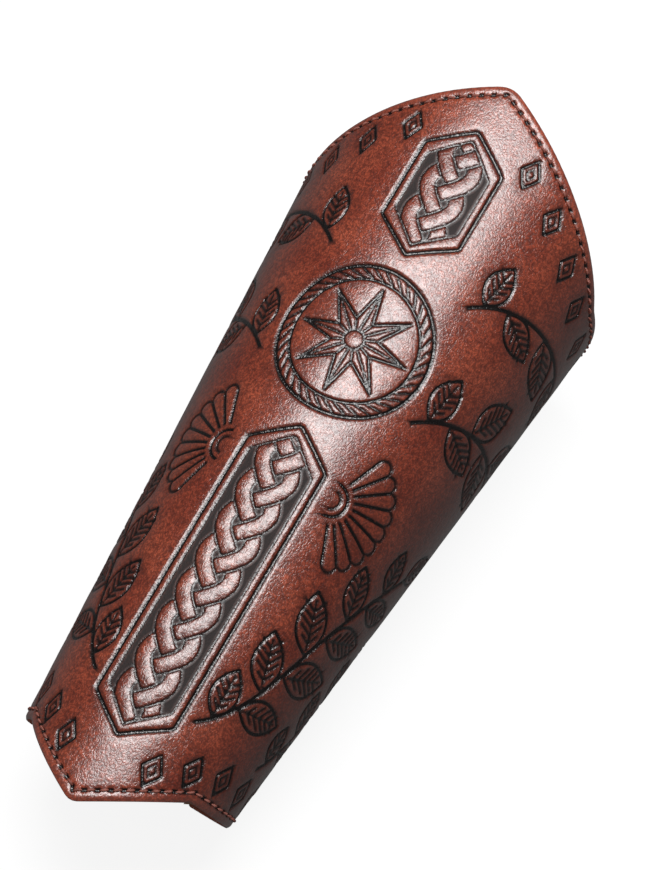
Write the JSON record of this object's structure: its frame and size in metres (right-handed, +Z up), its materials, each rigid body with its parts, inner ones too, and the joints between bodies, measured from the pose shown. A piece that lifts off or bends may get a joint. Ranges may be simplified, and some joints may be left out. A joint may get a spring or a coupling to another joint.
{
  "type": "leather vambrace",
  "caption": "Conical leather forearm guard, pointed at elbow and wrist, tooled face, sewn edges, open back with swinging lace rings.",
  "frame": {"origin": "on the ground under the middle of the piece's box, as it lies on its back", "axes": "+Z up, out of the middle of the tooled face; +Y from the wrist point to the elbow point; +X to the right seen from above with the elbow away from the viewer"},
  "size_m": [0.1012, 0.2411, 0.1072],
  "materials": {
    "tooled_leather": "antiqued, lacquered",
    "fibre_board": "edge-painted",
    "lining_leather": "split, matt",
    "tab_leather": "dyed, waxed",
    "waxed_thread": "waxed thread",
    "antique_brass": "antiqued"
  },
  "bodies": {
    "cone": {"outer_leather": "tooled_leather", "stiffener": "fibre_board", "lining": "lining_leather", "lace_tab_right_1": "tab_leather", "lace_tab_right_2": "tab_leather", "lace_tab_right_3": "tab_leather", "lace_tab_right_4": "tab_leather", "lace_tab_right_5": "tab_leather", "lace_tab_left_1": "tab_leather", "lace_tab_left_2": "tab_leather", "lace_tab_left_3": "tab_leather", "lace_tab_left_4": "tab_leather", "lace_tab_left_5": "tab_leather", "rivet_caps_right": "antique_brass", "rivet_caps_left": "antique_brass", "rivet_posts_right": "antique_brass", "rivet_posts_left": "antique_brass", "edge_stitching": "waxed_thread"},
    "lace_ring_right_1": {"lace_ring_right_1": "antique_brass"},
    "lace_ring_right_2": {"lace_ring_right_2": "antique_brass"},
    "lace_ring_right_3": {"lace_ring_right_3": "antique_brass"},
    "lace_ring_right_4": {"lace_ring_right_4": "antique_brass"},
    "lace_ring_right_5": {"lace_ring_right_5": "antique_brass"},
    "lace_ring_left_1": {"lace_ring_left_1": "antique_brass"},
    "lace_ring_left_2": {"lace_ring_left_2": "antique_brass"},
    "lace_ring_left_3": {"lace_ring_left_3": "antique_brass"},
    "lace_ring_left_4": {"lace_ring_left_4": "antique_brass"},
    "lace_ring_left_5": {"lace_ring_left_5": "antique_brass"}
  },
  "joints": [
    {"name": "lace_ring_right_1_swing", "type": "hinge", "parent": "cone", "child": "lace_ring_right_1", "pos_m": [0.01244, -0.07217, 0.0029], "axis": [0.0388, 0.9992, 0], "range_deg": [-160, 90]},
    {"name": "lace_ring_right_2_swing", "type": "hinge", "parent": "cone", "child": "lace_ring_right_2", "pos_m": [0.01388, -0.03504, 0.0029], "axis": [0.0388, 0.9992, 0], "range_deg": [-160, 90]},
    {"name": "lace_ring_right_3_swing", "type": "hinge", "parent": "cone", "child": "lace_ring_right_3", "pos_m": [0.01533, 0.00209, 0.0029], "axis": [0.0388, 0.9992, 0], "range_deg": [-160, 90]},
    {"name": "lace_ring_right_4_swing", "type": "hinge", "parent": "cone", "child": "lace_ring_right_4", "pos_m": [0.01677, 0.03922, 0.0029], "axis": [0.0388, 0.9992, 0], "range_deg": [-160, 90]},
    {"name": "lace_ring_right_5_swing", "type": "hinge", "parent": "cone", "child": "lace_ring_right_5", "pos_m": [0.01821, 0.07635, 0.0029], "axis": [0.0388, 0.9992, 0], "range_deg": [-160, 90]},
    {"name": "lace_ring_left_1_swing", "type": "hinge", "parent": "cone", "child": "lace_ring_left_1", "pos_m": [-0.01244, -0.07217, 0.0029], "axis": [0.0388, -0.9992, 0], "range_deg": [-160, 90]},
    {"name": "lace_ring_left_2_swing", "type": "hinge", "parent": "cone", "child": "lace_ring_left_2", "pos_m": [-0.01388, -0.03504, 0.0029], "axis": [0.0388, -0.9992, 0], "range_deg": [-160, 90]},
    {"name": "lace_ring_left_3_swing", "type": "hinge", "parent": "cone", "child": "lace_ring_left_3", "pos_m": [-0.01533, 0.00209, 0.0029], "axis": [0.0388, -0.9992, 0], "range_deg": [-160, 90]},
    {"name": "lace_ring_left_4_swing", "type": "hinge", "parent": "cone", "child": "lace_ring_left_4", "pos_m": [-0.01677, 0.03922, 0.0029], "axis": [0.0388, -0.9992, 0], "range_deg": [-160, 90]},
    {"name": "lace_ring_left_5_swing", "type": "hinge", "parent": "cone", "child": "lace_ring_left_5", "pos_m": [-0.01821, 0.07635, 0.0029], "axis": [0.0388, -0.9992, 0], "range_deg": [-160, 90]}
  ]
}
